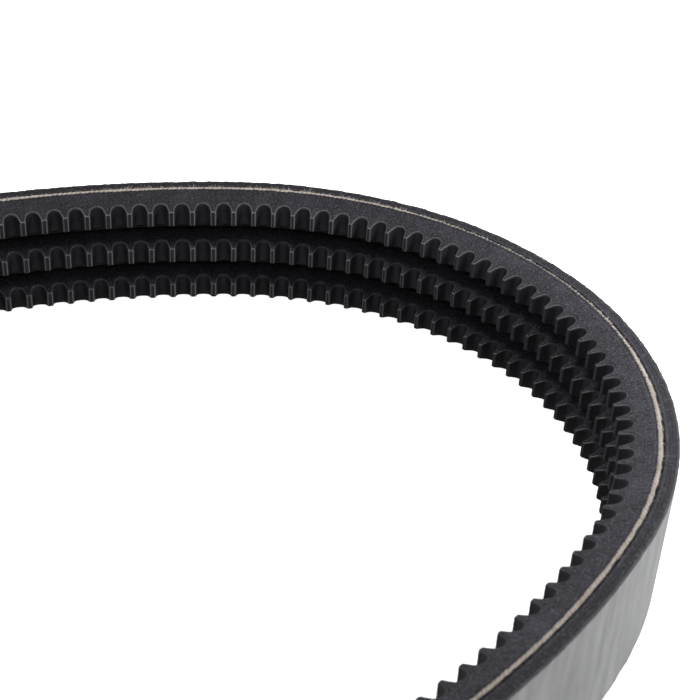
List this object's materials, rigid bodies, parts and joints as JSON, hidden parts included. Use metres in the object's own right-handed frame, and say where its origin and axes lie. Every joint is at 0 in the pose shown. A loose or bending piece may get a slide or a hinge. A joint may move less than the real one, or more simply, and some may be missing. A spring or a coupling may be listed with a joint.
{
  "type": "banded cogged v-belt",
  "caption": "Endless banded V-belt: raw-edge moulded-cog V ribs joined side by side by a fabric tie band on the back, relaxed into an oval loop.",
  "frame": {"origin": "centre of the loop, in the mid-plane of the middle rib", "axes": "+X along the long axis of the relaxed oval, +Z along the pulley axes"},
  "size_m": [0.2858, 0.2066, 0.0298],
  "materials": {
    "tie_band_fabric": "rubber-coated woven fabric, matte",
    "skim_gum": "matte",
    "overcord_rubber": "cut, matte",
    "adhesion_gum": "cut, matte",
    "tension_cord": "twisted polyester cord, undyed",
    "compression_rubber": "cut, fibre-loaded, matte",
    "cog_facing": "moulded, satin"
  },
  "bodies": {
    "root": {"tie_band_outer_fabric": "tie_band_fabric", "tie_band_skim_gum": "skim_gum", "tie_band_inner_fabric": "tie_band_fabric", "lower_rib_overcord_rubber": "overcord_rubber", "lower_rib_adhesion_gum": "adhesion_gum", "lower_rib_tension_cord": "tension_cord", "lower_rib_lower_edge_cord": "tension_cord", "lower_rib_upper_edge_cord": "tension_cord", "lower_rib_compression_rubber": "compression_rubber", "lower_rib_cog_facing": "cog_facing", "middle_rib_overcord_rubber": "overcord_rubber", "middle_rib_adhesion_gum": "adhesion_gum", "middle_rib_tension_cord": "tension_cord", "middle_rib_lower_edge_cord": "tension_cord", "middle_rib_upper_edge_cord": "tension_cord", "middle_rib_compression_rubber": "compression_rubber", "middle_rib_cog_facing": "cog_facing", "upper_rib_overcord_rubber": "overcord_rubber", "upper_rib_adhesion_gum": "adhesion_gum", "upper_rib_tension_cord": "tension_cord", "upper_rib_lower_edge_cord": "tension_cord", "upper_rib_upper_edge_cord": "tension_cord", "upper_rib_compression_rubber": "compression_rubber", "upper_rib_cog_facing": "cog_facing"}
  },
  "joints": []
}
